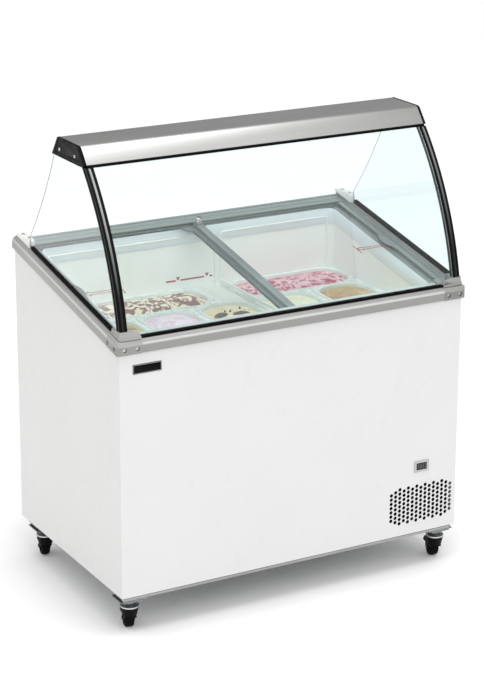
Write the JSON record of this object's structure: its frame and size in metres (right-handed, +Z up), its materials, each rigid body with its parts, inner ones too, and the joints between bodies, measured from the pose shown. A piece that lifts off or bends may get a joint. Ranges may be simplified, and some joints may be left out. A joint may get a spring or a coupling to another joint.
{
  "type": "chest freezer",
  "caption": "Ice cream scooping chest freezer with a sloped top, sliding glass lids over long pans, a curved glass canopy with an aluminium hood, bumper trim and swivel casters.",
  "frame": {"origin": "on the floor under the middle of the cabinet", "axes": "+X to the right seen from the front, +Y towards the rear, +Z up"},
  "size_m": [1.0412, 0.6512, 1.24],
  "materials": {
    "painted_front": "satin",
    "painted_side": "satin",
    "galvanised": "matte",
    "foam": "matte",
    "tank": "satin",
    "collar": "satin",
    "copper": "satin",
    "black_metal": "satin",
    "condenser": "satin",
    "trim": "satin",
    "rail": "satin",
    "bracket_dark": "satin",
    "bracket_light": "satin",
    "black_plastic": "satin",
    "bezel": "glossy",
    "steel": "satin",
    "canopy_glass": "clear",
    "lid_glass": "clear",
    "canopy_aluminium": "brushed",
    "white_plastic": "satin",
    "diffuser": "satin",
    "pan": "glossy",
    "ice_cream": "matte",
    "rubber": "matte",
    "chrome": "polished",
    "tyre": "matte"
  },
  "bodies": {
    "cabinet": {"front_panel": "painted_front", "left_panel": "painted_side", "right_panel": "painted_side", "rear_panel": "painted_side", "rear_cover": "galvanised", "base_tray": "galvanised", "base_strip": "trim", "insulation_foam": "foam", "inner_tank": "tank", "tank_collar": "collar", "evaporator_coil": "copper", "compressor": "black_metal", "condenser": "condenser", "fan_shroud": "galvanised", "power_inlet": "black_plastic", "controller": "bezel", "badge": "black_plastic", "front_bumper": "trim", "left_bumper": "trim", "right_bumper": "trim", "front_rail": "rail", "rear_rail": "rail", "left_rail": "rail", "right_rail": "rail", "front_left_bracket": "bracket_dark", "front_right_bracket": "bracket_dark", "rear_left_bracket": "bracket_light", "rear_right_bracket": "bracket_light", "screws": "steel", "left_post": "black_plastic", "right_post": "black_plastic", "front_glass": "canopy_glass", "left_glass": "canopy_glass", "right_glass": "canopy_glass", "glass_gaskets": "rubber", "canopy_sheet": "canopy_aluminium", "canopy_seal": "rubber", "left_end_cap": "black_plastic", "right_end_cap": "black_plastic", "lamp_housing": "white_plastic", "lamp_diffuser": "diffuser", "pan_rack": "white_plastic", "pans": "pan", "ice_cream": "ice_cream", "caster_mounts": "galvanised"},
    "left_lid": {"left_lid_glass": "lid_glass", "left_lid_frame": "rail"},
    "right_lid": {"right_lid_glass": "lid_glass", "right_lid_frame": "trim"},
    "lock": {"lid_lock": "chrome"},
    "switch": {"lamp_switch": "black_plastic"},
    "fan": {"fan_blade": "bezel"},
    "front_left_swivel": {"front_left_fork": "black_metal"},
    "front_left_roller": {"front_left_wheel": "tyre"},
    "front_right_swivel": {"front_right_fork": "black_metal"},
    "front_right_roller": {"front_right_wheel": "tyre"},
    "rear_left_swivel": {"rear_left_fork": "black_metal"},
    "rear_left_roller": {"rear_left_wheel": "tyre"},
    "rear_right_swivel": {"rear_right_fork": "black_metal"},
    "rear_right_roller": {"rear_right_wheel": "tyre"}
  },
  "joints": [
    {"name": "left_lid_slide", "type": "slide", "parent": "cabinet", "child": "left_lid", "axis": [1, 0, 0], "range_m": [0, 0.474]},
    {"name": "right_lid_slide", "type": "slide", "parent": "cabinet", "child": "right_lid", "axis": [1, 0, 0], "range_m": [-0.474, 0]},
    {"name": "lock_turn", "type": "hinge", "parent": "right_lid", "child": "lock", "pos_m": [0.008, 0.2407, 0.89178], "axis": [0, -0.1874, 0.9823], "range_deg": [0, 90]},
    {"name": "lamp_switch_rock", "type": "hinge", "parent": "cabinet", "child": "switch", "pos_m": [0.4, 0.009, 1.227], "axis": [1, 0, 0], "range_deg": [-8, 8]},
    {"name": "fan_spin", "type": "hinge", "parent": "cabinet", "child": "fan", "pos_m": [0.398, -0.236, 0.19], "axis": [0, 1, 0], "continuous": true},
    {"name": "front_left_turn", "type": "hinge", "parent": "cabinet", "child": "front_left_swivel", "pos_m": [-0.472, -0.279, 0.07], "axis": [0, 0, 1], "continuous": true},
    {"name": "front_left_roll", "type": "hinge", "parent": "front_left_swivel", "child": "front_left_roller", "pos_m": [-0.46818, -0.26244, 0.025], "axis": [0.9744, -0.225, 0], "continuous": true},
    {"name": "front_right_turn", "type": "hinge", "parent": "cabinet", "child": "front_right_swivel", "pos_m": [0.472, -0.279, 0.07], "axis": [0, 0, 1], "continuous": true},
    {"name": "front_right_roll", "type": "hinge", "parent": "front_right_swivel", "child": "front_right_roller", "pos_m": [0.47582, -0.26244, 0.025], "axis": [0.9744, -0.225, 0], "continuous": true},
    {"name": "rear_left_turn", "type": "hinge", "parent": "cabinet", "child": "rear_left_swivel", "pos_m": [-0.472, 0.244, 0.07], "axis": [0, 0, 1], "continuous": true},
    {"name": "rear_left_roll", "type": "hinge", "parent": "rear_left_swivel", "child": "rear_left_roller", "pos_m": [-0.46818, 0.26056, 0.025], "axis": [0.9744, -0.225, 0], "continuous": true},
    {"name": "rear_right_turn", "type": "hinge", "parent": "cabinet", "child": "rear_right_swivel", "pos_m": [0.472, 0.244, 0.07], "axis": [0, 0, 1], "continuous": true},
    {"name": "rear_right_roll", "type": "hinge", "parent": "rear_right_swivel", "child": "rear_right_roller", "pos_m": [0.47582, 0.26056, 0.025], "axis": [0.9744, -0.225, 0], "continuous": true}
  ]
}
